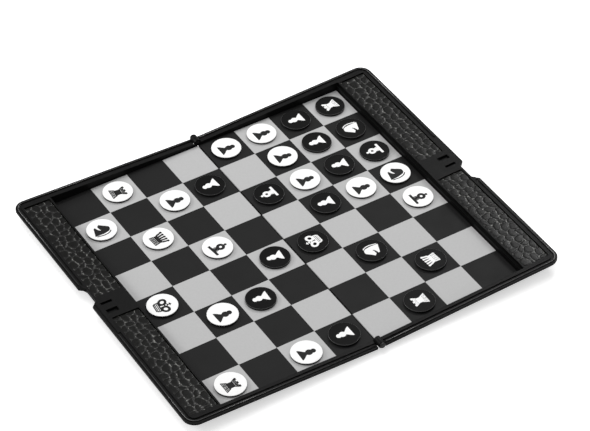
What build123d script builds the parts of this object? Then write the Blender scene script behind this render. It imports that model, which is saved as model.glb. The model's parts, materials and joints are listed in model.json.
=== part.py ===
"""Travel chess set: two hinged trays with a printed steel-backed board and magnetic discs.

The frame is the open set at rest. +X runs across the fold, from white's side to black's,
+Y runs along the fold towards the a-file and +Z is up, in millimetres. The origin is the
bottom centre of the open set. The left half is the right half turned half round about Z.
"""
from build123d import *
import math
import os

os.makedirs("parts", exist_ok=True)

# Board
square = 20.0
files = 8
ranks_per_half = 4
fold_gap = 0.8
sheet_margin = 0.25
sheet_thickness = 0.4
steel_thickness = 0.3
steel_setback = 1.5

# Tray
end_rim = 20.0
side_rim = 5.2
corner_radius = 6.0
floor_thickness = 1.2
skin_thickness = 0.5
lip_thickness = 1.4
skin_setback = 0.2
rim_above_board_at_fold = 1.5
rim_slope = 2.1
sheet_clearance = 0.2
step_depth = 2.0
step_width = 0.9

# Raised belly of the cover, under the board
belly_past_board = 1.0
belly_side_run = 1.0
belly_step_run = 0.3
belly_edge_radius = 0.4

# Rim detail, measured inwards from the outer edge
margin_drop = 0.35
bead_start = 0.9
bead_end = 1.6
channel_end = 2.9
channel_depth = 0.5
bead_break = 19.0

# Grip band at the outer end of each half
inlay_from_board = 2.2
inlay_width = 13.8
inlay_from_side = 5.4
latch_half_width = 7.9
inlay_recess = 0.9
inlay_thickness = 0.5
inlay_clearance = 0.1
slot_from_inlay = 8.2
slot_length = 5.8
slot_depth = 1.25
narrow_slot_y = -2.5
narrow_slot_width = 1.5
wide_slot_y = 3.45
wide_slot_width = 2.8
notch_near_y = -3.2
notch_far_y = -17.8
notch_depth = 3.0
notch_end_run = 2.6

# Hinge
closing_gap = 0.15
barrel_radius = 1.8
barrel_length = 2.4
lug_from_pocket = 0.15
knuckle_gap = 0.1
knuckle_clearance = 0.3
pin_radius = 0.8
pin_fit = 0.02
pin_running_fit = 0.1
pin_head_radius = 1.5
pin_head_length = 0.9
pin_head_gap = 0.1
pin_head_round = 0.7

# Discs
disc_diameter = 14.6
disc_body_height = 0.85
disc_face_diameter = 14.8
disc_face_height = 0.35
disc_edge = 0.15

# Each disc: name, square, and how far it lies off the square's centre, along X and Y
DISCS = [
    ("white_rook", "a2", -0.2, 0.4),
    ("white_knight", "b1", 0.2, 0.6),
    ("white_pawn", "b3", 0.0, 0.2),
    ("white_queen", "c2", 0.0, 1.0),
    ("white_bishop", "d3", 0.6, 0.7),
    ("white_king", "e1", -0.7, 0.6),
    ("white_pawn", "f2", -0.2, 0.7),
    ("white_pawn", "h3", -0.7, -0.3),
    ("white_rook", "h1", 0.2, 0.7),
    ("black_pawn", "b4", -0.1, 0.6),
    ("black_bishop", "c5", 0.0, 0.2),
    ("black_pawn", "d6", -0.3, 0.2),
    ("black_king", "e5", 0.0, 0.3),
    ("black_pawn", "e4", 0.0, 0.6),
    ("black_pawn", "f3", 0.0, 0.4),
    ("black_pawn", "h4", 0.0, 0.3),
    ("black_knight", "f6", 0.0, 0.3),
    ("black_queen", "g7", 0.0, 0.3),
    ("black_rook", "h6", 0.2, 0.2),
    ("black_rook", "a8", 0.3, 0.4),
    ("black_knight", "b8", -0.3, 0.2),
    ("black_bishop", "c8", 0.4, -0.2),
    ("black_pawn", "a7", 0.1, 0.3),
    ("black_pawn", "b7", -0.2, 0.4),
    ("black_pawn", "c7", 0.3, 0.1),
    ("white_knight", "d8", 0.0, 0.5),
    ("white_bishop", "e8", -0.3, 0.3),
    ("white_pawn", "a6", 0.2, 0.5),
    ("white_pawn", "b6", 0.0, 0.2),
    ("white_pawn", "c6", 0.3, -0.1),
    ("white_pawn", "a5", -0.2, 0.3),
    ("white_pawn", "d7", 0.1, 0.4),
]

# Worked out from the sizes above
floor_top = skin_thickness + floor_thickness
board_level = floor_top + steel_thickness + sheet_thickness
rim_at_fold = board_level + rim_above_board_at_fold
axis_height = rim_at_fold + closing_gap
board_end = fold_gap / 2 + ranks_per_half * square
board_half_width = files * square / 2
half_length = board_end + end_rim
half_width = board_half_width + side_rim
pocket_end = board_end + sheet_margin + sheet_clearance
pocket_half_width = board_half_width + sheet_margin + sheet_clearance
belly_length = board_end + belly_past_board
inlay_start = board_end + inlay_from_board
inlay_end = inlay_start + inlay_width
inlay_outer_y = half_width - inlay_from_side
slot_start = inlay_start + slot_from_inlay
slot_end = slot_start + slot_length
barrel_y0 = -half_width
barrel_y1 = barrel_y0 + barrel_length
lug_y0 = pocket_half_width + lug_from_pocket
lug_y1 = half_width - barrel_length - knuckle_gap
knuckle_reach = barrel_radius + knuckle_clearance
slope = math.radians(rim_slope)
rim_plane = Plane(
    origin=(0, 0, rim_at_fold),
    x_dir=(math.cos(slope), 0, math.sin(slope)),
    z_dir=(-math.sin(slope), 0, math.cos(slope)),
)
DEEP = 0.3 * half_length
SLIVER = knuckle_reach / 2


def block(x0, x1, y0, y1, z0, z1):
    """A box between two corners."""
    return Pos((x0 + x1) / 2, (y0 + y1) / 2, (z0 + z1) / 2) * Box(x1 - x0, y1 - y0, z1 - z0)


def plan(inset):
    """The tray's outline in plan, drawn in by a distance, open past the fold."""
    start = -DEEP
    end = half_length - inset
    width = 2 * (half_width - inset)
    face = Pos((start + end) / 2, 0) * Rectangle(end - start, width)
    outer_corners = face.vertices().group_by(Axis.X)[-1]
    return fillet(outer_corners, corner_radius - inset)


def slab(inset, top, bottom):
    """A plate with the tray's outline, between two levels counted from the sloping rim."""
    return rim_plane * Pos(0, 0, bottom) * extrude(plan(inset), amount=top - bottom)


def rim_block(x0, x1, y0, y1, z0, z1):
    """A box laid out on the sloping rim."""
    return rim_plane * block(x0, x1, y0, y1, z0, z1)


def past_fold(solid):
    """What of a solid lies on the right of the fold."""
    return solid - block(-3 * DEEP, fold_gap / 2, -2 * half_width, 2 * half_width, -DEEP, DEEP)


def belly(setback):
    """The raised belly with sloping sides, its faces moved inwards by a distance."""
    rise = rim_at_fold + half_length * math.tan(slope)
    side = belly_side_run * setback - setback * math.hypot(1, belly_side_run)
    end = belly_step_run * setback - setback * math.hypot(1, belly_step_run)
    bottom_y = board_half_width + side
    bottom_x = belly_length + end
    across = Polyline(
        (-bottom_y, setback),
        (bottom_y, setback),
        (bottom_y + belly_side_run * rise, setback + rise),
        (-bottom_y - belly_side_run * rise, setback + rise),
        close=True,
    )
    along = Polyline(
        (-DEEP, setback),
        (bottom_x, setback),
        (bottom_x + belly_step_run * rise, setback + rise),
        (-DEEP, setback + rise),
        close=True,
    )
    ends = extrude(Plane.YZ * make_face(across), amount=half_length + DEEP, both=True)
    sides = extrude(Plane.XZ * make_face(along), amount=half_width + DEEP, both=True)
    body = ends & sides
    low_edges = body.edges().group_by(Axis.Z)[0].filter_by(lambda e: e.center().X > 0)
    return fillet(low_edges, belly_edge_radius + skin_thickness - setback)


def notch_cut():
    """The thumb notch in the outer edge, a trapezoid with sloping ends."""
    depth_x = half_length - notch_depth
    outline = Polyline(
        (half_length + DEEP, notch_near_y),
        (half_length, notch_near_y),
        (depth_x, notch_near_y - notch_end_run),
        (depth_x, notch_far_y + notch_end_run),
        (half_length, notch_far_y),
        (half_length + DEEP, notch_far_y),
        close=True,
    )
    return rim_plane * Pos(0, 0, -DEEP / 2) * extrude(make_face(outline), amount=DEEP)


def knuckle(y0, y1):
    """A hinge knuckle on the fold's axis between two places along Y."""
    return Pos(0, (y0 + y1) / 2, axis_height) * Rot(90, 0, 0) * Cylinder(barrel_radius, y1 - y0)


def bore(y0, y1, radius):
    """A bore along the fold's axis between two places along Y."""
    return Pos(0, (y0 + y1) / 2, axis_height) * Rot(90, 0, 0) * Cylinder(radius, y1 - y0)


def knuckle_room():
    """The space at the fold's two ends that the other half's knuckles turn in."""
    near = block(-DEEP, knuckle_reach, -lug_y1 - knuckle_gap, -lug_y0 + knuckle_gap, -DEEP, DEEP)
    far = block(-DEEP, knuckle_reach, lug_y1, half_width + DEEP, -DEEP, DEEP)
    return near + far


def tray_blank():
    """The tray before its recesses are cut: sloping lip plate and belly."""
    lip = slab(0, 0, -lip_thickness)
    body = belly(skin_thickness) & slab(skin_setback, -lip_thickness / 2, -DEEP)
    return lip + body


def make_tray():
    """The moulded tray of the right half."""
    tray = tray_blank()
    y = pocket_half_width
    pocket = block(-DEEP, pocket_end, -y, y, floor_top, DEEP)
    step = rim_block(-DEEP, pocket_end + step_width, -y, y, -step_depth, DEEP)
    margin = slab(-SLIVER, SLIVER, -margin_drop) - slab(bead_start, 2 * SLIVER, -DEEP)
    channel = slab(bead_end, SLIVER, -channel_depth) - slab(channel_end, 2 * SLIVER, -DEEP)
    channel_break = bead_break - bead_start
    inner_x = half_length - 2 * channel_end
    channel -= rim_block(inner_x, half_length + SLIVER, -channel_break, channel_break, -DEEP, SLIVER)
    bead_x = half_length - bead_end
    gap_in_bead = rim_block(bead_x, half_length + SLIVER, -bead_break, bead_break, -margin_drop, SLIVER)
    tray = tray - pocket - step - margin - channel - gap_in_bead
    for y0, y1 in inlay_spans():
        tray -= rim_block(inlay_start, inlay_end, y0, y1, -inlay_recess, SLIVER)
    for middle, width in ((narrow_slot_y, narrow_slot_width), (wide_slot_y, wide_slot_width)):
        y0 = middle - width / 2
        tray -= rim_block(slot_start, slot_end, y0, y0 + width, -slot_depth, SLIVER)
    tray = past_fold(tray - notch_cut() - knuckle_room())
    tray += knuckle(barrel_y0, barrel_y1) + knuckle(lug_y0, lug_y1)
    tray -= bore(barrel_y0 - SLIVER, barrel_y1 + SLIVER, pin_radius + pin_running_fit)
    tray -= bore(lug_y0 - SLIVER, lug_y1 + SLIVER, pin_radius + pin_fit)
    return tray


def inlay_spans():
    """The Y spans of the two inlay recesses, either side of the plain latch block."""
    return [(-inlay_outer_y, -latch_half_width), (latch_half_width, inlay_outer_y)]


def make_skin():
    """The grained cover skin under the right half's tray."""
    level = -lip_thickness
    sheet = slab(skin_setback, level, level - skin_thickness)
    bulge = belly(0) & slab(skin_setback, level, -DEEP)
    skin = sheet + bulge - tray_blank()
    ends = block(-DEEP, knuckle_reach, pocket_half_width, half_width + DEEP, 0, DEEP)
    ends += block(-DEEP, knuckle_reach, -half_width - DEEP, -pocket_half_width, 0, DEEP)
    return past_fold(skin - notch_cut() - ends)


def make_steel():
    """The steel sheet that the discs cling to, on the tray's floor."""
    y = pocket_half_width - steel_setback
    start = fold_gap / 2 + steel_setback
    end = pocket_end - steel_setback
    return block(start, end, -y, y, floor_top, floor_top + steel_thickness)


def make_board():
    """The printed board sheet of four ranks, with a rim beneath that frames the steel."""
    low = floor_top
    y = board_half_width + sheet_margin
    sheet = block(fold_gap / 2, board_end + sheet_margin, -y, y, low, board_level)
    return sheet - make_steel()


def make_inlay(y0, y1):
    """One grained inlay strip in its recess."""
    room = inlay_clearance
    base = -inlay_recess
    return rim_block(
        inlay_start + room, inlay_end - room, y0 + room, y1 - room, base, base + inlay_thickness
    )


def make_pin():
    """The hinge pin at the near end, headed outside the barrel."""
    stem_end = -lug_y0
    head_y = -half_width - pin_head_gap
    stem_length = stem_end - head_y
    stem = Rot(90, 0, 0) * Cylinder(pin_radius, stem_length)
    stem = Pos(0, (stem_end + head_y) / 2, axis_height) * stem
    head = Rot(90, 0, 0) * Cylinder(pin_head_radius, pin_head_length)
    head = Pos(0, head_y - pin_head_length / 2, axis_height) * head
    head = fillet(head.edges().group_by(Axis.Y)[0], pin_head_round)
    return stem + head


def turned(shape):
    """The same piece on the other half: turned half round about Z."""
    return Rot(0, 0, 180) * shape


def square_centre(name):
    """The centre of a square on the open board."""
    rank = int(name[1]) - 1
    column = "abcdefgh".index(name[0])
    side = fold_gap / 2 if rank >= ranks_per_half else -fold_gap / 2
    x = side + (rank - ranks_per_half + 0.5) * square
    y = board_half_width - (column + 0.5) * square
    return x, y


def make_disc(x, y):
    """A playing disc: a magnet body with a printed face set on it."""
    body = Pos(0, 0, disc_body_height / 2) * Cylinder(disc_diameter / 2, disc_body_height)
    body = chamfer(body.edges().filter_by(GeomType.CIRCLE), disc_edge)
    face = Pos(0, 0, disc_body_height + disc_face_height / 2) * Cylinder(
        disc_face_diameter / 2, disc_face_height
    )
    face = chamfer(face.edges().group_by(Axis.Z)[-1], disc_edge)
    place = Pos(x, y, board_level)
    return Compound(children=[place * body, place * face])


def disc_places():
    """Each disc's node name with its square and its centre."""
    places = {}
    for kind, name, shift_x, shift_y in DISCS:
        x, y = square_centre(name)
        places[f"{kind}_{name}"] = (name, x + shift_x, y + shift_y)
    return places


def build():
    """All pieces by node name."""
    tray = make_tray()
    skin = make_skin()
    steel = make_steel()
    board = make_board()
    pin = make_pin()
    low_inlay, high_inlay = [make_inlay(y0, y1) for y0, y1 in inlay_spans()]
    pieces = {
        "tray_right": tray,
        "tray_left": turned(tray),
        "cover_skin_right": skin,
        "cover_skin_left": turned(skin),
        "steel_sheet_right": steel,
        "steel_sheet_left": turned(steel),
        "board_sheet_right": board,
        "board_sheet_left": turned(board),
        "inlay_right_near": low_inlay,
        "inlay_right_far": high_inlay,
        "inlay_left_far": turned(low_inlay),
        "inlay_left_near": turned(high_inlay),
        "hinge_pin_near": pin,
        "hinge_pin_far": turned(pin),
    }
    for node, (_, x, y) in disc_places().items():
        pieces[node] = make_disc(x, y)
    return pieces


def main():
    """Write each piece to its own file."""
    for node, shape in build().items():
        export_step(shape, f"parts/{node}.step")


main()
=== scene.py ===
"""Looks for a folding travel chess set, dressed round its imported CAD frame.

The trays, the printed board sheets, the steel sheets and the hinge pins are the CAD's own
pieces with better finishes. The grained covers, the grip inlays, the discs with their
figures and the bead along the rim are modelled here in their place. Sizes are in
millimetres and are turned into metres where a mesh is made. +X runs from white's side to
black's, +Y along the fold towards the a-file and +Z up.
"""

from __future__ import annotations

import json
import logging
import math
import random
from dataclasses import dataclass, field, replace
from enum import Enum

import bmesh
import bpy
from mathutils import Matrix, Vector

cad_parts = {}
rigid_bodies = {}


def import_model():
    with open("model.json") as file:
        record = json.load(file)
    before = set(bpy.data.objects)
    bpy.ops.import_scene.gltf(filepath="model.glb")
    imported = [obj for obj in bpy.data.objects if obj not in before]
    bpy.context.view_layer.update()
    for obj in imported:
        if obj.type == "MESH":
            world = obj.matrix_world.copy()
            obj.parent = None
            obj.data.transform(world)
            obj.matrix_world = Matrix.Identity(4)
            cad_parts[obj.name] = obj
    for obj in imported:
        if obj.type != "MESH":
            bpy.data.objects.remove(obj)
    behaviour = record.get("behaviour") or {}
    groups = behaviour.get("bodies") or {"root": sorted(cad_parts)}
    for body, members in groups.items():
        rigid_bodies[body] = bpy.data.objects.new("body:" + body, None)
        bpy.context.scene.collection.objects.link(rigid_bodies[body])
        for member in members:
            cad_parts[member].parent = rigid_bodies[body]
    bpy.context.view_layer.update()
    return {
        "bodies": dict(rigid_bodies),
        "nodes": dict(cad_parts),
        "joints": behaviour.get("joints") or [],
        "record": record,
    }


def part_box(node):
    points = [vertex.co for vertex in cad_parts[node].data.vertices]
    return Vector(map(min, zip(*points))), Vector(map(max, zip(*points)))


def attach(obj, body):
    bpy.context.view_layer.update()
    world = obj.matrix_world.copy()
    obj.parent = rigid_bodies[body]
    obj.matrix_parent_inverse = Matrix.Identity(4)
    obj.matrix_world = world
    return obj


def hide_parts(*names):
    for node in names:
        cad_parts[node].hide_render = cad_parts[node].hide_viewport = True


LOG = logging.getLogger("travel_chess_set")

# A millimetre in metres; how near two points of a mesh, in millimetres, count as one; and how
# far a face's normal points up, out of 1, where the face counts as a top.
MM = 0.001
NEAR = 0.001
UPWARD = 0.9

Colour = tuple[float, float, float]
Point = tuple[float, float]
Place = tuple[float, float, float]
Socket = bpy.types.NodeSocket
Material = bpy.types.Material
Mesh = bmesh.types.BMesh
Edge = bmesh.types.BMEdge

# How far each disc is turned on its square, in degrees. The rest lie straight.
TWISTS = {
    "a2": -5, "b3": 1, "c2": 4, "d3": 7, "e1": -6, "f2": 2, "h3": -3, "d8": 6, "b6": -4, "a8": 5,
    "b4": 4, "c5": 2, "d6": -3, "e5": 3, "e4": -6, "f3": -4, "f6": -3, "g7": 4, "h6": -2, "c7": -7,
}


class Half(Enum):
    """The two halves of the case, each with its sign along X."""

    RIGHT = 1
    LEFT = -1

    @property
    def body(self) -> str:
        """The CAD body that this half's pieces ride on."""
        return f"{self.word}_half"

    @property
    def word(self) -> str:
        """The half's word in node names."""
        return self.name.lower()

    @property
    def turn(self) -> Matrix:
        """The turn about Z that takes a piece of the right half to this half."""
        return Matrix.Rotation(0.0 if self is Half.RIGHT else math.pi, 4, "Z")


class Side(Enum):
    """The two players' colours."""

    WHITE = "white"
    BLACK = "black"


class Figure(Enum):
    """The chess figures that are printed on the discs."""

    PAWN = "pawn"
    ROOK = "rook"
    KNIGHT = "knight"
    BISHOP = "bishop"
    QUEEN = "queen"
    KING = "king"


@dataclass(frozen=True)
class Cloud:
    """A noise pattern: its features per metre, its octaves and how strong the finer ones are."""

    scale: float
    detail: float = 3.0
    rough: float = 0.55


class Shader:
    """A material's node tree, with short ways to add and join nodes."""

    def __init__(self, name: str) -> None:
        """Start a material with one Principled shader.

        Args:
            name: The material's name.
        """
        self.material = bpy.data.materials.new(name)
        self.material.use_nodes = True
        self.tree = self.material.node_tree
        self.tree.nodes.clear()
        self.output = self.add("ShaderNodeOutputMaterial")
        self.surface = self.add("ShaderNodeBsdfPrincipled")
        self.join(self.surface.outputs["BSDF"], self.output.inputs["Surface"])

    def add(self, kind: str, **settings: object) -> bpy.types.Node:
        """Add a node and set its properties.

        Args:
            kind: The node's type name.
            settings: Properties of the node itself.

        Returns:
            The new node.
        """
        node = self.tree.nodes.new(kind)
        for key, value in settings.items():
            setattr(node, key, value)
        return node

    def join(self, start: Socket, end: Socket) -> None:
        """Join an output socket to an input socket."""
        self.tree.links.new(start, end)

    def coordinates(self) -> Socket:
        """The Object coordinates of the surface point."""
        return self.add("ShaderNodeTexCoord").outputs["Object"]

    def gloss(self, roughness: float, specular: float = 0.5) -> None:
        """Set the gloss on the shader's own sockets.

        Args:
            roughness: The surface roughness.
            specular: The specular level, where 0.5 is plain plastic.
        """
        self.surface.inputs["Roughness"].default_value = roughness
        self.surface.inputs["Specular IOR Level"].default_value = specular

    def noise(self, cloud: Cloud) -> Socket:
        """A noise texture on Object coordinates.

        Args:
            cloud: The pattern.

        Returns:
            The socket of its 0 to 1 value.
        """
        node = self.add("ShaderNodeTexNoise")
        node.inputs["Scale"].default_value = cloud.scale
        node.inputs["Detail"].default_value = cloud.detail
        node.inputs["Roughness"].default_value = cloud.rough
        self.join(self.coordinates(), node.inputs["Vector"])
        return node.outputs["Fac"]

    def math(self, operation: str, *values: Socket | float) -> Socket:
        """A Math node on sockets or plain numbers.

        Args:
            operation: The Math node's operation.
            values: Sockets or numbers, in the node's input order.

        Returns:
            The node's output socket.
        """
        node = self.add("ShaderNodeMath", operation=operation)
        for socket, value in zip(node.inputs, values):
            if isinstance(value, (int, float)):
                socket.default_value = value
            else:
                self.join(value, socket)
        return node.outputs["Value"]

    def blend(self, factor: Socket, low: Socket | Colour, high: Socket | Colour) -> Socket:
        """A colour that goes from low to high with a factor.

        Args:
            factor: The socket that drives the blend.
            low: The colour, or its socket, at 0.
            high: The colour, or its socket, at 1.

        Returns:
            The blended colour's socket.
        """
        node = self.add("ShaderNodeMix", data_type="RGBA")
        self.join(factor, node.inputs["Factor"])
        for name, value in (("A", low), ("B", high)):
            socket = next(s for s in node.inputs if s.name == name and s.type == "RGBA")
            if isinstance(value, tuple):
                socket.default_value = (*value, 1.0)
            else:
                self.join(value, socket)
        return next(s for s in node.outputs if s.type == "RGBA")

    def mottle(self, factor: Socket, colour: Colour, change: float) -> Socket:
        """A colour that a factor makes darker and lighter.

        Args:
            factor: The socket that drives the change.
            colour: The colour at a factor of a half.
            change: The share of the colour that is lost at 0 and added at 1.

        Returns:
            The changed colour's socket.
        """
        return self.blend(factor, shade(colour, 1.0 - change), shade(colour, 1.0 + change))

    def vary_gloss(self, factor: Socket, polish: float, scuff: float) -> None:
        """Let the roughness follow a factor.

        Args:
            factor: The socket that drives the roughness.
            polish: How much smoother the surface is at 0.
            scuff: How much rougher it is at 1.
        """
        roughness = self.surface.inputs["Roughness"]
        node = self.add("ShaderNodeMapRange")
        node.inputs["To Min"].default_value = roughness.default_value - polish
        node.inputs["To Max"].default_value = roughness.default_value + scuff
        self.join(factor, node.inputs["Value"])
        self.join(node.outputs["Result"], roughness)

    def relief(self, height: Socket, distance: float) -> None:
        """Bump the surface.

        Args:
            height: The height socket.
            distance: The height of the bump in millimetres.
        """
        node = self.add("ShaderNodeBump")
        node.inputs["Strength"].default_value = 1.0
        node.inputs["Distance"].default_value = distance * MM
        self.join(height, node.inputs["Height"])
        self.join(node.outputs["Normal"], self.surface.inputs["Normal"])


def edges_at(vertices: list[bmesh.types.BMVert]) -> list[Edge]:
    """The edges at some vertices, each once and always in the same order."""
    return list(dict.fromkeys(edge for vertex in vertices for edge in vertex.link_edges))


def grey(level: float) -> Colour:
    """A neutral grey of one linear level."""
    return (level, level, level)


def shade(colour: Colour, factor: float) -> Colour:
    """A colour made lighter or darker.

    Args:
        colour: The linear colour.
        factor: What each channel is multiplied by.

    Returns:
        The changed colour, capped at white.
    """
    return tuple(min(1.0, channel * factor) for channel in colour)


@dataclass(frozen=True)
class Finish:
    """A finish with a clouded colour, an uneven gloss and a fine relief in millimetres.

    The tone clouds the colour by its change, either way. The marks polish the surface where
    they are low and scuff it where they are high.
    """

    name: str
    colour: Colour
    roughness: float
    specular: float = 0.5
    metallic: float = 0.0
    tone: Cloud = Cloud(350.0)
    tone_change: float = 0.04
    marks: Cloud = Cloud(350.0)
    polish: float = 0.06
    scuff: float = 0.06
    texture: Cloud = Cloud(1400.0, 2.0)
    texture_height: float = 0.006

    def build(self) -> Material:
        """Make the material.

        Returns:
            The new material.
        """
        shader = Shader(self.name)
        shader.gloss(self.roughness, self.specular)
        shader.surface.inputs["Metallic"].default_value = self.metallic
        shader.join(self.paint(shader), shader.surface.inputs["Base Color"])
        shader.vary_gloss(shader.noise(self.marks), self.polish, self.scuff)
        if self.texture_height:
            shader.relief(shader.noise(self.texture), self.texture_height)
        return shader.material

    def paint(self, shader: Shader) -> Socket:
        """Add the nodes of the base colour.

        Args:
            shader: The material's shader.

        Returns:
            The base colour's socket.
        """
        return shader.mottle(shader.noise(self.tone), self.colour, self.tone_change)


@dataclass(frozen=True)
class MouldedPlastic(Finish):
    """Moulded plastic with a fine spark-eroded texture and faint handling marks."""

    roughness: float = 0.42
    specular: float = 0.08
    tone: Cloud = Cloud(70.0, 4.0)
    tone_change: float = 0.2
    marks: Cloud = Cloud(420.0, 5.0, 0.7)
    polish: float = 0.08
    scuff: float = 0.1
    texture: Cloud = Cloud(2600.0, 2.0)
    texture_height: float = 0.02


@dataclass(frozen=True)
class GrainedSkin(Finish):
    """Embossed reptile-grain sheet, for its scales or for the veins between them.

    The colour is dim where the tone's patches are low and full where they are high. On the veins
    the light colour and its full patches are painted highlight, glints on their edges.
    """

    roughness: float = 0.35
    specular: float = 0.25
    tone: Cloud = Cloud(620.0, 3.0, 0.6)
    tone_change: float = 0.3
    dim_until: float = 0.36
    full_from: float = 0.64
    marks: Cloud = Cloud(300.0, 4.0, 0.6)
    polish: float = 0.1
    scuff: float = 0.12
    texture: Cloud = Cloud(1500.0, 4.0, 0.65)
    texture_height: float = 0.03

    def paint(self, shader: Shader) -> Socket:
        """Add the nodes of the base colour.

        Args:
            shader: The material's shader.

        Returns:
            The base colour's socket.
        """
        contrast = shader.add("ShaderNodeMapRange")
        contrast.inputs["From Min"].default_value = self.dim_until
        contrast.inputs["From Max"].default_value = self.full_from
        shader.join(shader.noise(self.tone), contrast.inputs["Value"])
        return shader.mottle(contrast.outputs["Result"], self.colour, self.tone_change)


@dataclass(frozen=True)
class PrintedBoard(Finish):
    """The board's print on satin vinyl: dark squares, and light ones in the finish's colour."""

    dark: Colour = (0.0, 0.0, 0.0)
    square: float = 20.0
    fold_gap: float = 0.8
    half_width: float = 80.0
    half_length: float = 80.4
    roughness: float = 0.55
    specular: float = 0.1
    tone: Cloud = Cloud(900.0)
    tone_change: float = 0.05
    dark_tone: Cloud = Cloud(45.0)
    dark_change: float = 0.15
    marks: Cloud = Cloud(120.0, 4.0)
    polish: float = 0.08
    scuff: float = 0.08
    texture: Cloud = Cloud(1800.0, 2.0)
    texture_height: float = 0.008

    def paint(self, shader: Shader) -> Socket:
        """Add the nodes of the base colour.

        Args:
            shader: The material's shader.

        Returns:
            The base colour's socket.
        """
        light = shader.mottle(shader.noise(self.tone), self.colour, self.tone_change)
        dark = shader.mottle(shader.noise(self.dark_tone), self.dark, self.dark_change)
        return shader.blend(self.lit(shader), dark, light)

    def lit(self, shader: Shader) -> Socket:
        """Where the light squares are.

        Args:
            shader: The material's shader.

        Returns:
            A socket that is 1 on a light square and 0 elsewhere.
        """
        split = shader.add("ShaderNodeSeparateXYZ")
        shader.join(shader.coordinates(), split.inputs["Vector"])
        x, y = split.outputs["X"], split.outputs["Y"]
        gap = shader.math("MULTIPLY", shader.math("SIGN", x), self.fold_gap / 2 * MM)
        from_gap = shader.math("SUBTRACT", x, gap)
        rank = shader.math("FLOOR", shader.math("DIVIDE", from_gap, self.square * MM))
        column = shader.math("FLOOR", shader.math("DIVIDE", y, self.square * MM))
        odd = shader.math("FLOORED_MODULO", shader.math("ADD", rank, column), 2.0)
        inside_x = shader.math("LESS_THAN", shader.math("ABSOLUTE", x), self.half_length * MM)
        inside_y = shader.math("LESS_THAN", shader.math("ABSOLUTE", y), self.half_width * MM)
        inside = shader.math("MULTIPLY", inside_x, inside_y)
        return shader.math("MULTIPLY", shader.math("SUBTRACT", 1.0, odd), inside)


@dataclass(frozen=True)
class DiscFinish(Finish):
    """Smooth plastic of a disc's face, its magnet or its printed figure."""

    roughness: float = 0.35
    specular: float = 0.45


@dataclass(frozen=True)
class SheetSteel(Finish):
    """Smooth steel, bare for the hidden sheets and blackened for the hinge pins."""

    roughness: float = 0.35
    metallic: float = 1.0
    tone: Cloud = Cloud(500.0, 4.0, 0.7)
    tone_change: float = 0.15
    marks: Cloud = Cloud(500.0, 4.0, 0.7)
    polish: float = 0.1
    scuff: float = 0.1
    texture_height: float = 0.0


@dataclass
class Finishes:
    """Every finish of the set, built once."""

    tray: Material = field(init=False)
    bead: Material = field(init=False)
    skin: list[Material] = field(init=False)
    inlay: list[Material] = field(init=False)
    board: Material = field(init=False)
    steel: Material = field(init=False)
    pin: Material = field(init=False)
    magnet: Material = field(init=False)
    # The discs' rim finishes; on black discs this is a painted highlight.
    edges: dict[Side, Material] = field(init=False)
    faces: dict[Side, Material] = field(init=False)
    inks: dict[Side, Material] = field(init=False)

    def __post_init__(self) -> None:
        """Build the materials. A grained finish is its scales, long veins and cross veins; the
        veins' light colour is painted highlight, brighter on the long veins than on the cross
        veins.
        """
        self.tray = MouldedPlastic("tray_plastic", grey(0.0045)).build()
        # Painted highlight: the bead is the tray's own plastic, given a slightly lighter colour
        # than the tray to stand for the highlight along its crest.
        bead = MouldedPlastic("bead_plastic", grey(0.006), 0.25, 0.8, texture_height=0.004)
        self.bead = bead.build()
        scales = GrainedSkin("cover_scales", (0.0045, 0.0045, 0.0043), 0.45, 0.08)
        # Painted highlight: the veins' light colour, speckled by the tone into bright spots,
        # stands for glints on their edges.
        veins = GrainedSkin(
            "cover_long_veins",
            (0.2, 0.2, 0.19),
            tone=Cloud(900.0, 3.0, 0.6),
            tone_change=0.97,
            dim_until=0.42,
            full_from=0.68,
        )
        # Painted light: the cross veins are a dimmer copy, as the light catches them less than the
        # long veins.
        crossing = replace(veins, name="cover_cross_veins", colour=(0.14, 0.14, 0.135))
        self.skin = [finish.build() for finish in (scales, veins, crossing)]
        scales = GrainedSkin("inlay_scales", (0.004, 0.004, 0.0035), 0.3, 0.12)
        # The inlay's veins carry the same painted highlight, brighter along Y than across.
        veins = GrainedSkin(
            "inlay_long_veins",
            (0.16, 0.16, 0.15),
            tone=Cloud(1000.0, 3.0, 0.6),
            tone_change=0.97,
            dim_until=0.5,
            full_from=0.72,
        )
        # Painted light: a dimmer copy for the inlay's cross veins.
        crossing = replace(veins, name="inlay_cross_veins", colour=(0.06, 0.06, 0.056))
        self.inlay = [finish.build() for finish in (scales, veins, crossing)]
        self.board = PrintedBoard("board_print", grey(0.487), dark=grey(0.0118)).build()
        self.steel = SheetSteel("sheet_steel", (0.5, 0.5, 0.52)).build()
        self.pin = SheetSteel("pin_black_steel", grey(0.012), 0.4, metallic=0.3).build()
        self.magnet = DiscFinish("disc_magnet", grey(0.006), 0.6, 0.15).build()
        self.faces = {
            Side.WHITE: DiscFinish("disc_white", (0.955, 0.955, 0.95)).build(),
            Side.BLACK: DiscFinish("disc_black", grey(0.004), 0.4, 0.05).build(),
        }
        # Painted highlight: the black discs' rounded rim takes a lighter, glossier copy of their
        # face, standing for the gloss on the edge; the white discs keep their face.
        self.edges = {
            Side.WHITE: self.faces[Side.WHITE],
            Side.BLACK: DiscFinish("disc_black_edge", grey(0.04), 0.35, 0.6).build(),
        }
        self.inks = {
            Side.WHITE: DiscFinish("ink_black", grey(0.008), 0.5, 0.15).build(),
            Side.BLACK: DiscFinish("ink_white", (0.92, 0.92, 0.915), 0.5, 0.3).build(),
        }


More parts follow.
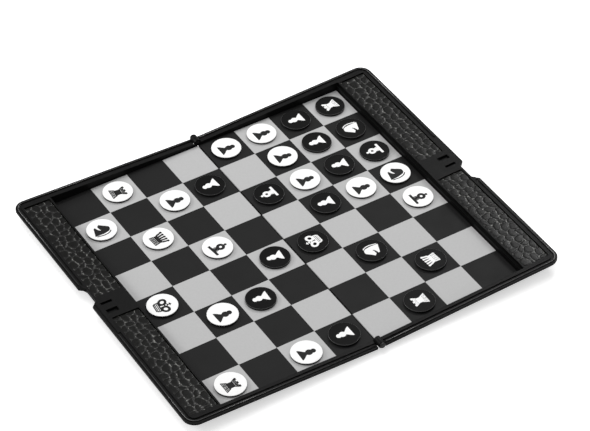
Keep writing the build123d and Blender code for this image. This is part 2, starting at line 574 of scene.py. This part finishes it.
def finish_piece(
    name: str, mesh: Mesh, body: str, materials: list[Material]
) -> bpy.types.Object:
    """Turn a bmesh in millimetres into a piece in metres that rides on a body.

    Args:
        name: The piece's name.
        mesh: The shape, in the row frame, in millimetres; it is freed here.
        body: The CAD body that the piece rides on.
        materials: Its materials, in the order of the faces' material numbers.

    Returns:
        The new object.
    """
    bmesh.ops.scale(mesh, vec=(MM, MM, MM), verts=mesh.verts)
    data = bpy.data.meshes.new(name)
    mesh.to_mesh(data)
    mesh.free()
    for material in materials:
        data.materials.append(material)
    piece = bpy.data.objects.new(name, data)
    bpy.context.scene.collection.objects.link(piece)
    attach(piece, body)
    LOG.info("%s: %d faces on %s", name, len(data.polygons), body)
    return piece


def dress(node: bpy.types.Object, material: Material) -> None:
    """Give a CAD node one material.

    Args:
        node: The CAD node's object.
        material: Its new material.
    """
    if not node.material_slots:
        node.data.materials.append(material)
    for material_slot in node.material_slots:
        material_slot.material = material


@dataclass
class RimPlane:
    """The sloping plane of the right half's rim, which everything on the rim follows."""

    height_at_fold: float = 3.9
    slope: float = 2.1

    def place(self, lift: float) -> Matrix:
        """The transform from flat to the rim's plane.

        Args:
            lift: How far above the rim the flat plane goes.

        Returns:
            The transform, in millimetres.
        """
        tilt = Matrix.Rotation(-math.radians(self.slope), 4, "Y")
        rise = Matrix.Translation((0, 0, self.height_at_fold))
        return rise @ tilt @ Matrix.Translation((0, 0, lift))


@dataclass
class CaseOutline:
    """The right half's outline in plan."""

    half_length: float = 100.4
    half_width: float = 85.2
    corner_radius: float = 6.0
    notch_near: float = -3.2
    notch_far: float = -17.8
    notch_depth: float = 3.0
    notch_run: float = 2.6

    def keep_inside(self, x: float, y: float, inset: float) -> Point:
        """Pull a point back inside the outline.

        Args:
            x: The point along X.
            y: The point along Y.
            inset: The room to leave to the edge.

        Returns:
            The point, moved only if it was outside.
        """
        corner_x = self.half_length - self.corner_radius
        corner_y = self.half_width - self.corner_radius
        reach = self.corner_radius - inset
        off = Vector((x - corner_x, abs(y) - corner_y))
        if off.x > 0 and off.y > 0 and off.length > reach:
            off = off.normalized() * reach
            x, y = corner_x + off.x, math.copysign(corner_y + off.y, y)
        x = min(x, self.half_length - inset - self.notch_cut(y, inset))
        y = max(-self.half_width + inset, min(self.half_width - inset, y))
        return x, y

    def notch_cut(self, y: float, inset: float) -> float:
        """How deep the thumb notch is at a place along Y.

        Args:
            y: The place along Y.
            inset: The room to leave to the notch's edge.

        Returns:
            The depth of the cut there.
        """
        from_end = min(self.notch_near + inset - y, y - self.notch_far + inset)
        share = max(0.0, min(1.0, from_end / self.notch_run))
        return share * self.notch_depth


@dataclass
class ScalePatch:
    """A rectangular patch of raised reptile scales in staggered rows.

    The patch is built flat, its groove floor at height 0 and the scales above it, with
    rows along Y and closed sides that go down to its base. Each of the rings that round a
    scale takes its shares of the shoulder's width and of the height.
    """

    x0: float
    x1: float
    y0: float
    y1: float
    scale_length: float
    scale_width: float
    groove: float = 0.06
    shoulder: float = 0.6
    height: float = 0.2
    base: float = 0.1
    jitter: float = 0.26
    swell: float = 0.35
    swell_waves: Point = (9.0, 13.0)
    edge_room: float = 0.5
    rings: tuple[Point, ...] = ((0.4, 0.7), (0.6, 0.3))
    seed: int = 1

    def build(self, outline: CaseOutline | None = None) -> Mesh:
        """Build the patch.

        Args:
            outline: A case outline that the patch is kept inside, if it reaches its edge.

        Returns:
            The patch as a closed bmesh. Scales have material 0, the veins along Y have 1
            and those across have 2.
        """
        mesh = bmesh.new()
        columns = 2 * max(2, round((self.y1 - self.y0) / self.scale_length))
        rows = max(2, round((self.x1 - self.x0) / self.scale_width))
        middle = Vector(((self.x0 + self.x1) / 2, (self.y0 + self.y1) / 2, 0))
        stretch = Matrix.Diagonal((self.x1 - self.x0, self.y1 - self.y0, 1, 1))
        place = Matrix.Translation(middle) @ stretch
        bmesh.ops.create_grid(mesh, x_segments=rows, y_segments=columns, size=0.5, matrix=place)
        self.stagger(mesh, columns, rows)
        self.shuffle(mesh, outline)
        self.close_sides(mesh)
        self.raise_scales(mesh)
        return mesh

    def stagger(self, mesh: Mesh, columns: int, rows: int) -> None:
        """Join the grid's cells in pairs, shifted by one cell in every other row.

        Args:
            mesh: The flat grid.
            columns: Its cells along Y.
            rows: Its cells along X.
        """
        wide = (self.y1 - self.y0) / columns
        deep = (self.x1 - self.x0) / rows
        joins = []
        for edge in mesh.edges:
            a, b = (vertex.co for vertex in edge.verts)
            if abs(a.y - b.y) > wide / 2:
                continue
            column = round((a.y - self.y0) / wide)
            row = int(((a.x + b.x) / 2 - self.x0) / deep)
            if 0 < column < columns and (column + row) % 2:
                joins.append(edge)
        bmesh.ops.dissolve_edges(mesh, edges=joins, use_verts=False)

    def shuffle(self, mesh: Mesh, outline: CaseOutline | None) -> None:
        """Move the scales' corners about, and keep the patch's edges straight.

        Args:
            mesh: The flat patch.
            outline: A case outline that the corners are kept inside, if there is one.
        """
        chance = random.Random(self.seed)
        wide = self.jitter * self.scale_length
        deep = self.jitter * self.scale_width
        most = self.swell * self.scale_length
        wave_x, wave_y = self.swell_waves
        for vertex in mesh.verts:
            x, y = vertex.co.x, vertex.co.y
            swell = most * math.sin(x / wave_x + self.seed) * math.sin(y / wave_y)
            at_x = min(x - self.x0, self.x1 - x)
            at_y = min(y - self.y0, self.y1 - y)
            if at_x > deep:
                vertex.co.x += chance.uniform(-deep, deep)
            if at_y > wide + most:
                vertex.co.y += chance.uniform(-wide, wide) + swell
            if outline:
                vertex.co.xy = outline.keep_inside(vertex.co.x, vertex.co.y, self.edge_room)

    def close_sides(self, mesh: Mesh) -> None:
        """Give the patch straight sides and a flat base, creased against smoothing.

        Args:
            mesh: The flat patch; its top's faces get material 1.
        """
        rim = [edge for edge in mesh.edges if edge.is_boundary]
        for face in mesh.faces:
            face.material_index = 1
        walls = bmesh.ops.extrude_edge_only(mesh, edges=rim)["geom"]
        low = [item for item in walls if isinstance(item, bmesh.types.BMVert)]
        bmesh.ops.translate(mesh, verts=low, vec=(0, 0, -self.base))
        bmesh.ops.holes_fill(mesh, edges=[e for e in mesh.edges if e.is_boundary], sides=0)
        bmesh.ops.recalc_face_normals(mesh, faces=mesh.faces)
        crease = mesh.edges.layers.float.new("crease_edge")
        for edge in mesh.edges:
            at_base = any(abs(vertex.co.z + self.base) < NEAR for vertex in edge.verts)
            if at_base or edge in rim:
                edge[crease] = 1.0

    def raise_scales(self, mesh: Mesh) -> None:
        """Raise a rounded scale on each cell of the top.

        Args:
            mesh: The closed patch; a scale gets material 0, a vein along Y 1 and others 2.
        """
        cells = [
            face
            for face in mesh.faces
            if face.material_index == 1
            and face.normal.z > UPWARD
            and face.calc_center_median().z > -self.base / 2
        ]
        veins = bmesh.ops.inset_individual(mesh, faces=cells, thickness=self.groove)
        # The veins along Y take material 1 and those across take material 2, so that each carries
        # its own painted highlight, brighter along Y.
        for face in veins["faces"]:
            sides = (edge.verts[1].co - edge.verts[0].co for edge in face.edges)
            run = max(sides, key=lambda way: way.length)
            face.material_index = 1 if abs(run.y) > abs(run.x) else 2
        scales = list(cells)
        for inward, upward in self.rings:
            ring = bmesh.ops.inset_individual(
                mesh, faces=cells, thickness=self.shoulder * inward, depth=self.height * upward
            )
            scales += ring["faces"]
        for face in scales:
            face.material_index = 0
        for face in mesh.faces:
            face.smooth = True


def smooth_piece(piece: bpy.types.Object, levels: int = 1) -> None:
    """Add a Subdivision Surface modifier.

    Args:
        piece: The piece to smooth.
        levels: The levels, the same in the view and in a render.
    """
    modifier = piece.modifiers.new("Smooth", "SUBSURF")
    modifier.levels = levels
    modifier.render_levels = levels


@dataclass
class CoverSkin:
    """A half's grained outer skin: the raised belly and the grip strip beside it."""

    rim: RimPlane
    outline: CaseOutline
    finishes: Finishes
    emboss: float = 0.2
    belly_start: float = 0.9
    belly_end: float = 80.6
    belly_half_width: float = 79.2
    belly_scale: Point = (5.6, 4.2)
    belly_seed: int = 3
    strip_start: float = 83.6
    strip_end: float = 99.9
    strip_inset: float = 0.5
    strip_scale: Point = (5.0, 4.1)
    strip_seed: int = 7
    strip_depth: float = 1.92

    def build(self, half: Half) -> None:
        """Build one half's skin in place of its CAD node.

        Args:
            half: The half to build.
        """
        node_name = f"cover_skin_{half.word}"
        mesh = bmesh.new()
        mesh.from_mesh(bpy.data.objects[node_name].data)
        bmesh.ops.scale(mesh, vec=(1 / MM,) * 3, verts=mesh.verts)
        bmesh.ops.remove_doubles(mesh, verts=mesh.verts, dist=NEAR)
        for vertex in mesh.verts:
            vertex.co.z = max(vertex.co.z, self.emboss)
        bmesh.ops.dissolve_degenerate(mesh, edges=mesh.edges, dist=NEAR / 2)
        shell = finish_piece(
            f"cover_shell_{half.word}", mesh, half.body, self.finishes.skin[:1]
        )
        scales = self.scales(half)
        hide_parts(node_name)
        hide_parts(node_name)

    def scales(self, half: Half) -> bpy.types.Object:
        """Build the embossed scales of the belly and of the grip strip.

        Args:
            half: The half to build.

        Returns:
            The scales' piece.
        """
        flip = Matrix.Rotation(math.pi, 4, "X")
        belly = ScalePatch(
            self.belly_start,
            self.belly_end,
            -self.belly_half_width,
            self.belly_half_width,
            *self.belly_scale,
            height=self.emboss,
            seed=self.belly_seed + half.value,
        ).build()
        place = Matrix.Translation((0, 0, self.emboss)) @ flip
        bmesh.ops.transform(belly, matrix=place, verts=belly.verts)
        strip_half_width = self.outline.half_width - self.strip_inset
        near, far = -self.outline.notch_far, -self.outline.notch_near
        grip = ScalePatch(
            self.strip_start,
            self.strip_end,
            -strip_half_width,
            strip_half_width,
            *self.strip_scale,
            height=self.emboss,
            seed=self.strip_seed + half.value,
        ).build(replace(self.outline, notch_near=near, notch_far=far))
        place = self.rim.place(-self.strip_depth) @ flip
        bmesh.ops.transform(grip, matrix=place, verts=grip.verts)
        spare = bpy.data.meshes.new("grip_strip_scales")
        grip.to_mesh(spare)
        grip.free()
        belly.from_mesh(spare)
        bpy.data.meshes.remove(spare)
        bmesh.ops.transform(belly, matrix=half.turn, verts=belly.verts)
        piece = finish_piece(
            f"cover_scales_{half.word}", belly, half.body, self.finishes.skin
        )
        smooth_piece(piece)
        return piece


@dataclass
class GripInlays:
    """The two grained strips let into each half's outer end."""

    rim: RimPlane
    finishes: Finishes
    start: float = 82.7
    end: float = 96.3
    outer: float = 79.7
    inner: float = 8.0
    recess: float = 0.9
    thickness: float = 0.5
    emboss: float = 0.16
    scale: Point = (4.8, 3.5)
    groove: float = 0.03
    jitter: float = 0.32
    seed: int = 20

    def build(self, half: Half) -> None:
        """Build one half's two inlays in place of their CAD nodes.

        Args:
            half: The half to build.
        """
        spans = {-1: (-self.outer, -self.inner), 1: (self.inner, self.outer)}
        for sign, (y0, y1) in spans.items():
            end = "far" if sign * half.value > 0 else "near"
            patch = ScalePatch(
                self.start,
                self.end,
                y0,
                y1,
                *self.scale,
                groove=self.groove,
                jitter=self.jitter,
                height=self.emboss,
                base=self.thickness - self.emboss,
                seed=self.seed + sign + 3 * half.value,
            ).build()
            lift = -self.recess + self.thickness - self.emboss
            bmesh.ops.transform(patch, matrix=half.turn @ self.rim.place(lift), verts=patch.verts)
            node_name = f"inlay_{half.word}_{end}"
            piece = finish_piece(
                f"grip_{node_name}", patch, half.body, self.finishes.inlay
            )
            smooth_piece(piece)
            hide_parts(node_name)


@dataclass
class RimBead:
    """The thin rounded bead that runs along a half's rim, with a break at the latch."""

    rim: RimPlane
    outline: CaseOutline
    finishes: Finishes
    inset: float = 1.25
    radius: float = 0.36
    stand: float = 0.1
    start: float = 2.4
    latch_break: float = 19.0
    corner_steps: int = 8
    roundness: int = 3

    def path(self, sign: int) -> list[Point]:
        """The bead's line in plan, from the fold to the latch.

        Args:
            sign: -1 for the near side and 1 for the far side, on the right half.

        Returns:
            The line's points.
        """
        radius = self.outline.corner_radius - self.inset
        centre_x = self.outline.half_length - self.outline.corner_radius
        centre_y = self.outline.half_width - self.outline.corner_radius
        points = [(self.start, sign * (centre_y + radius))]
        for step in range(self.corner_steps + 1):
            angle = math.pi / 2 * (1 - step / self.corner_steps)
            x = centre_x + radius * math.cos(angle)
            points.append((x, sign * (centre_y + radius * math.sin(angle))))
        points.append((centre_x + radius, sign * self.latch_break))
        return points

    def build(self, half: Half) -> None:
        """Build one half's bead.

        Args:
            half: The half to build.
        """
        mesh = bmesh.new()
        for sign in (-1, 1):
            curve = bpy.data.curves.new("bead_line", "CURVE")
            curve.dimensions = "3D"
            curve.bevel_depth = self.radius
            curve.bevel_resolution = self.roundness
            curve.use_fill_caps = True
            spline = curve.splines.new("POLY")
            points = self.path(sign)
            spline.points.add(len(points) - 1)
            for target, (x, y) in zip(spline.points, points):
                target.co = (x, y, self.stand - self.radius, 1)
            holder = bpy.data.objects.new("bead_line", curve)
            solid = bpy.data.meshes.new_from_object(holder)
            mesh.from_mesh(solid)
            bpy.data.objects.remove(holder)
            bpy.data.curves.remove(curve)
            bpy.data.meshes.remove(solid)
        bmesh.ops.remove_doubles(mesh, verts=mesh.verts, dist=NEAR)
        bmesh.ops.recalc_face_normals(mesh, faces=mesh.faces)
        for face in mesh.faces:
            face.smooth = len(face.verts) <= 4
        bmesh.ops.transform(mesh, matrix=half.turn @ self.rim.place(0), verts=mesh.verts)
        # The bead's material is slightly lighter than the tray, a painted highlight.
        finish_piece(f"rim_bead_{half.word}", mesh, half.body, [self.finishes.bead])


class FigurePrint:
    """Draws a figure as thin raised ink, its top towards +X and its centre at the origin.

    Every place and width of a drawing is in millimetres from the figure's centre.
    """

    level_step: float = 0.0015
    round_segments: int = 24

    def __init__(self, thickness: float = 0.06) -> None:
        """Start an empty print.

        Args:
            thickness: The ink's thickness in millimetres.
        """
        self.thickness = thickness
        self.marks = 0
        self.mesh = bmesh.new()

    def next_level(self) -> float:
        """A slightly higher level for each mark, so that no two tops lie in one plane."""
        self.marks += 1
        return self.marks * self.level_step

    def shape(self, points: list[Point]) -> None:
        """Add a filled outline.

        Args:
            points: The outline's corners, in order.
        """
        level = self.next_level()
        corners = [self.mesh.verts.new((x, y, level)) for x, y in points]
        edges = [self.mesh.edges.new((a, b)) for a, b in zip(corners, corners[1:] + corners[:1])]
        bmesh.ops.edgeloop_fill(self.mesh, edges=edges)

    def mirrored(self, points: list[Point]) -> None:
        """Add a filled outline that is symmetric about the X axis.

        Args:
            points: The half of the outline with y above 0, in order along X.
        """
        self.shape(points + [(x, -y) for x, y in reversed(points)])

    def dot(self, x: float, y: float, radius: float) -> None:
        """Add a round dot."""
        place = Matrix.Translation((x, y, self.next_level()))
        self.circle(place, radius, filled=True)

    def circle(self, place: Matrix, radius: float, filled: bool = False) -> list[Edge]:
        """Add a circle.

        Args:
            place: The transform from the origin to its place.
            radius: Its radius.
            filled: Whether it gets a face.

        Returns:
            Its edges.
        """
        loop = bmesh.ops.create_circle(
            self.mesh, cap_ends=filled, segments=self.round_segments, radius=radius, matrix=place
        )
        return edges_at(loop["verts"])

    def ring(
        self, centre: Point, outer: float, inner: float, stretch: float = 1.0, lean: float = 0.0
    ) -> None:
        """Add a ring.

        Args:
            centre: Its centre.
            outer: Its outer radius across Y.
            inner: Its inner radius across Y.
            stretch: How much longer it is along its own length.
            lean: Its turn about the centre, in degrees.
        """
        place = Matrix.Translation((*centre, self.next_level()))
        place @= Matrix.Rotation(math.radians(lean), 4, "Z")
        place @= Matrix.Diagonal((stretch, 1, 1, 1))
        edges = self.circle(place, outer) + self.circle(place, inner)
        bmesh.ops.bridge_loops(self.mesh, edges=edges)

    def bar(self, start: Point, end: Point, width: float, end_width: float | None = None) -> None:
        """Add a straight bar, which may taper.

        Args:
            start: The middle of one end.
            end: The middle of the other end.
            width: The width at the start.
            end_width: The width at the end, the same as the start's if left out.
        """
        a, b = Vector(start), Vector(end)
        across = (b - a).normalized().orthogonal()
        near = across * width / 2
        far = across * (width if end_width is None else end_width) / 2
        self.shape([tuple(a + near), tuple(b + far), tuple(b - far), tuple(a - near)])

    def stripes(
        self, x0: float, x1: float, half0: float, half1: float, count: int, width: float
    ) -> None:
        """Add a row of stripes across the figure, between two places along X.

        Args:
            x0: The first stripe's middle.
            x1: The last stripe's middle.
            half0: The half length of the first stripe.
            half1: The half length of the last stripe.
            count: The number of stripes.
            width: The width of each stripe.
        """
        for step in range(count):
            share = step / (count - 1)
            x = x0 + share * (x1 - x0)
            half = half0 + share * (half1 - half0)
            self.bar((x, -half), (x, half), width)

    def pawn(self) -> None:
        """A flared foot with two balls above it."""
        foot = [(-3.9, 3.3), (-3.2, 3.1), (-2.4, 2.5), (-1.6, 1.75)]
        stem = [(-0.9, 1.15), (-0.3, 0.95), (0.6, 0.9)]
        self.mirrored(foot + stem)
        self.dot(0.95, 0, 1.75)
        self.dot(3.05, 0, 1.3)

    def rook(self) -> None:
        """A waisted tower with a lined foot, a solid middle and a lined crown."""
        self.stripes(-3.8, -1.9, 3.3, 2.35, 4, 0.46)
        self.mirrored([(-1.7, 2.15), (-0.8, 1.8), (0.6, 1.8), (1.4, 2.05)])
        self.stripes(1.75, 2.75, 2.3, 2.8, 3, 0.44)
        for side in (-1, 1):
            self.bar((-4.0, side * 3.15), (-1.4, side * 1.95), 0.5)
            self.bar((1.2, side * 1.85), (3.2, side * 2.9), 0.5)
            self.bar((-3.9, side * 1.1), (-1.6, side * 0.8), 0.36)
        for y in (-2.35, 0.0, 2.35):
            self.bar((3.25, y - 0.65), (3.25, y + 0.65), 0.7)

    def knight(self) -> None:
        """A horse's head and neck, with a mane line behind it."""
        neck = [(-4.9, -2.4), (-3.1, 3.0), (-2.3, 3.3), (-2.0, 2.2)]
        throat = [(-1.6, 1.2), (-0.8, 0.4), (-0.4, 0.5), (-0.8, 1.3)]
        muzzle = [(-1.1, 3.2), (0.1, 4.4), (1.5, 3.1), (2.8, 2.1), (3.9, 1.1), (4.0, 0.2)]
        crest = [(3.6, -1.1), (2.4, -1.95), (-0.3, -2.45), (-2.6, -2.45)]
        self.shape(neck + throat + muzzle + crest)
        mane = [(-4.2, -2.85), (-2.4, -3.15), (-0.6, -3.45)]
        mane += [(1.3, -3.25), (2.7, -2.75), (3.7, -1.8)]
        for start, end in zip(mane, mane[1:]):
            self.bar(start, end, 0.55)

    def bishop(self) -> None:
        """A wide foot, a small collar, a ring for the mitre and a ball at its tip."""
        self.mirrored([(-3.65, 3.75), (-2.4, 3.75), (-2.3, 1.7), (-2.1, 1.6)])
        self.stripes(-1.75, -0.6, 1.6, 1.35, 3, 0.46)
        self.bar((-2.4, 0), (-0.3, 0), 1.4)
        self.ring((1.3, 0), 2.15, 0.7)
        self.bar((3.0, 0), (3.8, 0), 1.1, 0.7)
        self.dot(4.05, 0, 0.7)

    def queen(self) -> None:
        """A lined band with five rays, each with a small ball at its tip."""
        self.stripes(-3.7, -1.9, 2.95, 2.65, 4, 0.44)
        self.mirrored([(-1.5, 2.65), (-0.5, 2.75), (0.4, 2.85)])
        for side in (-1, 1):
            self.bar((-3.9, side * 2.9), (-1.3, side * 2.6), 0.45)
        for y in (-1.1, 0.0, 1.1):
            self.bar((-3.9, y * 1.1), (-1.4, y), 0.32)
        for step in range(-2, 3):
            self.bar((0.2, step * 1.3), (2.9, step * 1.68), 1.05, 0.85)
            self.dot(3.0, step * 1.68, 0.64)

    def king(self) -> None:
        """A lined band with two open lobes and a cross between them."""
        self.bar((-4.05, -2.15), (-4.05, 2.15), 0.6)
        self.stripes(-3.35, -2.55, 2.7, 2.8, 2, 0.46)
        self.bar((-1.75, -2.95), (-1.75, 2.95), 0.65)
        for side in (-1, 1):
            self.bar((-4.2, side * 2.1), (-3.2, side * 2.8), 0.5)
            self.bar((-3.4, side * 2.7), (-1.6, side * 2.95), 0.5)
            self.ring((0.4, side * 2.35), 2.05, 0.9, 1.15, side * 35)
            self.bar((-1.7, side * 0.6), (0.9, side * 0.55), 0.45)
        self.ring((1.5, 0), 1.0, 0.4)
        self.bar((2.2, 0), (4.1, 0), 0.5)
        self.bar((3.3, -0.85), (3.3, 0.85), 0.5)

    def draw(self, figure: Figure) -> None:
        """Draw a figure.

        Args:
            figure: Which one.
        """
        drawings = {
            Figure.PAWN: self.pawn,
            Figure.ROOK: self.rook,
            Figure.KNIGHT: self.knight,
            Figure.BISHOP: self.bishop,
            Figure.QUEEN: self.queen,
            Figure.KING: self.king,
        }
        drawings[figure]()

    def placed(self, place: Matrix) -> Mesh:
        """Give the ink its thickness and move it to its place.

        Args:
            place: The transform from the drawing's frame to the row frame.

        Returns:
            The finished bmesh.
        """
        self.mesh.normal_update()
        for face in self.mesh.faces:
            if face.normal.z < 0:
                face.normal_flip()
        bmesh.ops.solidify(self.mesh, geom=list(self.mesh.faces), thickness=self.thickness)
        bmesh.ops.recalc_face_normals(self.mesh, faces=self.mesh.faces)
        low = min(vertex.co.z for vertex in self.mesh.verts)
        bmesh.ops.translate(self.mesh, verts=self.mesh.verts, vec=(0, 0, -low))
        bmesh.ops.transform(self.mesh, matrix=place, verts=self.mesh.verts)
        return self.mesh


@dataclass
class Discs:
    """The magnetic discs: a dark magnet, a printed face with, on black discs, a painted highlight
    round its rounded edge, and a figure in ink.
    """

    finishes: Finishes
    body_radius: float = 7.3
    body_height: float = 0.85
    face_radius: float = 7.4
    face_height: float = 0.35
    edge: float = 0.13
    edge_steps: int = 3
    segments: int = 80
    ink_sink: float = 0.04
    white_shift: Place = (-0.05, -0.8, 0.0)
    black_shift: Place = (0.0, 0.1, 0.0)
    white_size: float = 1.0
    black_size: float = 0.95

    def build(self, node_name: str) -> None:
        """Build one disc in place of its CAD node.

        Args:
            node_name: The CAD node, named after its side, its figure and its square.
        """
        side_word, figure_word, square = node_name.split("_")
        side, figure = Side(side_word), Figure(figure_word)
        low, high = (Vector(corner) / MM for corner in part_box(node_name))
        centre = Vector(((low.x + high.x) / 2, (low.y + high.y) / 2, low.z))
        mesh = bmesh.new()
        self.drum(mesh, centre, self.body_radius, self.body_height, 1)
        seat = centre + Vector((0, 0, self.body_height))
        self.drum(mesh, seat, self.face_radius, self.face_height, 0)
        materials = [self.finishes.faces[side], self.finishes.magnet, self.finishes.edges[side]]
        disc = finish_piece(f"disc_{node_name}", mesh, node_name, materials)
        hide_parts(node_name)
        top = centre + Vector((0, 0, self.body_height + self.face_height - self.ink_sink))
        ink = FigurePrint()
        ink.draw(figure)
        place = Matrix.Translation(top) @ self.print_place(side, square)
        piece = finish_piece(
            f"figure_{node_name}", ink.placed(place), node_name, [self.finishes.inks[side]]
        )
        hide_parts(node_name)

    def print_place(self, side: Side, square: str) -> Matrix:
        """How a disc's print lies on its face.

        Args:
            side: The disc's colour.
            square: The square that it stands on.

        Returns:
            The transform from the drawing to the face's middle.
        """
        white = side is Side.WHITE
        shift = self.white_shift if white else self.black_shift
        size = self.white_size if white else self.black_size
        heading = TWISTS.get(square, 0) + (0 if white else 180)
        turn = Matrix.Rotation(math.radians(heading), 4, "Z")
        return Matrix.Translation(shift) @ turn @ Matrix.Diagonal((size, size, 1, 1))

    def drum(self, mesh: Mesh, foot: Vector, radius: float, height: float, material: int) -> None:
        """Add a flat drum with rounded edges.

        Args:
            mesh: The bmesh to add to.
            foot: The drum's bottom centre.
            radius: The drum's radius.
            height: The drum's height.
            material: The material number of its faces.
        """
        made = bmesh.ops.create_cone(
            mesh,
            cap_ends=True,
            segments=self.segments,
            radius1=radius,
            radius2=radius,
            depth=height,
            matrix=Matrix.Translation(foot + Vector((0, 0, height / 2))),
        )
        for face in {face for vertex in made["verts"] for face in vertex.link_faces}:
            face.material_index = material
        edges = edges_at(made["verts"])
        rims = [e for e in edges if abs(e.verts[0].co.z - e.verts[1].co.z) < NEAR]
        bevelled = bmesh.ops.bevel(
            mesh,
            geom=rims,
            offset=self.edge,
            segments=self.edge_steps,
            profile=0.5,
            affect="EDGES",
            material=-1,
        )
        # On a black disc the bevel's material 2 is the painted highlight ring.
        for face in bevelled["faces"]:
            face.material_index = material or 2
        for face in mesh.faces:
            face.smooth = len(face.verts) == 4


@dataclass(frozen=True)
class Lamp:
    """A square soft lamp that faces the object, in metres and watts."""

    name: str
    place: Place
    size: float
    power: float

    def hang(self) -> None:
        """Hang the lamp."""
        data = bpy.data.lights.new(self.name, "AREA")
        data.size = self.size
        data.energy = self.power
        lamp = bpy.data.objects.new(self.name, data)
        lamp.location = self.place
        lamp.rotation_euler = (-Vector(self.place)).to_track_quat("-Z", "Y").to_euler()
        bpy.context.scene.collection.objects.link(lamp)


@dataclass
class Studio:
    """A white floor, soft light and the camera, in metres."""

    eye: Place = (-0.450805, -0.748493, 0.811204)
    turn: Place = (47.74341, 0.38501, -31.77563)
    lens: float = 153.54
    sensor_width: float = 36.0
    clip_start: float = 0.01
    world_level: float = 0.5
    floor_half: float = 4.0
    floor_level: float = 0.93
    floor_roughness: float = 0.9
    floor_glow: float = 0.5
    lamps: tuple[Lamp, ...] = (
        Lamp("key", (-0.1, 0.4, 1.25), 0.9, 5.2),
        Lamp("sheen", (0.8, 0.6, 0.92), 0.35, 5.2),
        Lamp("edge", (-0.75, 0.8, 0.62), 0.3, 4.5),
    )

    def build(self) -> None:
        """Build the floor, the lights and the camera."""
        self.floor()
        self.world()
        for lamp in self.lamps:
            lamp.hang()
        self.camera()
        bpy.context.scene.view_settings.view_transform = "Standard"

    def camera(self) -> None:
        """Set up the camera, turned by degrees about X, Y and Z."""
        camera = bpy.data.cameras.new("camera")
        camera.lens = self.lens
        camera.sensor_width = self.sensor_width
        camera.clip_start = self.clip_start
        holder = bpy.data.objects.new("camera", camera)
        holder.location = self.eye
        holder.rotation_euler = tuple(math.radians(angle) for angle in self.turn)
        bpy.context.scene.collection.objects.link(holder)
        bpy.context.scene.camera = holder

    def floor(self) -> None:
        """Lay a plain white floor."""
        mesh = bmesh.new()
        bmesh.ops.create_grid(mesh, x_segments=1, y_segments=1, size=self.floor_half)
        data = bpy.data.meshes.new("floor")
        mesh.to_mesh(data)
        mesh.free()
        shader = Shader("floor_white")
        shader.gloss(self.floor_roughness, 0.0)
        shader.surface.inputs["Base Color"].default_value = (*grey(self.floor_level), 1)
        glow = shader.add("ShaderNodeEmission")
        seen = shader.add("ShaderNodeLightPath").outputs["Is Camera Ray"]
        shader.join(shader.math("MULTIPLY", seen, self.floor_glow), glow.inputs["Strength"])
        total = shader.add("ShaderNodeAddShader")
        shader.join(shader.surface.outputs["BSDF"], total.inputs[0])
        shader.join(glow.outputs["Emission"], total.inputs[1])
        shader.join(total.outputs["Shader"], shader.output.inputs["Surface"])
        data.materials.append(shader.material)
        floor = bpy.data.objects.new("floor", data)
        bpy.context.scene.collection.objects.link(floor)

    def world(self) -> None:
        """Light the scene evenly; the camera sees plain white."""
        world = bpy.data.worlds.new("studio")
        bpy.context.scene.world = world
        world.use_nodes = True
        tree = world.node_tree
        tree.nodes.clear()
        output = tree.nodes.new("ShaderNodeOutputWorld")
        mix = tree.nodes.new("ShaderNodeMixShader")
        path = tree.nodes.new("ShaderNodeLightPath")
        tree.links.new(path.outputs["Is Camera Ray"], mix.inputs["Fac"])
        for number, level in ((1, self.world_level), (2, 1.0)):
            light = tree.nodes.new("ShaderNodeBackground")
            light.inputs["Color"].default_value = (1, 1, 1, 1)
            light.inputs["Strength"].default_value = level
            tree.links.new(light.outputs["Background"], mix.inputs[number])
        tree.links.new(mix.outputs["Shader"], output.inputs["Surface"])


class ChessSet:
    """The whole set, dressed piece by piece."""

    def __init__(self, frame: dict) -> None:
        """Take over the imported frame.
        """
        self.nodes = frame["nodes"]
        self.finishes = Finishes()
        self.rim = RimPlane()
        self.outline = CaseOutline()

    def dress_frame(self) -> None:
        """Give the CAD's own pieces their finishes."""
        finishes = {
            "tray": self.finishes.tray,
            "board_sheet": self.finishes.board,
            "steel_sheet": self.finishes.steel,
            "hinge_pin": self.finishes.pin,
            "cover_skin": self.finishes.skin[0],
            "inlay": self.finishes.inlay[0],
            "white": self.finishes.faces[Side.WHITE],
            "black": self.finishes.faces[Side.BLACK],
        }
        for name, node in self.nodes.items():
            key = next(start for start in finishes if name.startswith(start))
            dress(node, finishes[key])
        LOG.info("frame: %d nodes dressed", len(self.nodes))

    def build(self) -> None:
        """Build every modelled piece."""
        self.dress_frame()
        for half in Half:
            CoverSkin(self.rim, self.outline, self.finishes).build(half)
            GripInlays(self.rim, self.finishes).build(half)
            RimBead(self.rim, self.outline, self.finishes).build(half)
        discs = Discs(self.finishes)
        sides = tuple(side.value for side in Side)
        for name in self.nodes:
            if name.startswith(sides):
                discs.build(name)


def main() -> None:
    """Load the frame, dress it and light it."""
    logging.basicConfig(level=logging.INFO, format="%(name)s: %(message)s")
    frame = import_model()
    ChessSet(frame).build()
    Studio().build()
    LOG.info("sizes written")


if __name__ == "__main__":
    main()
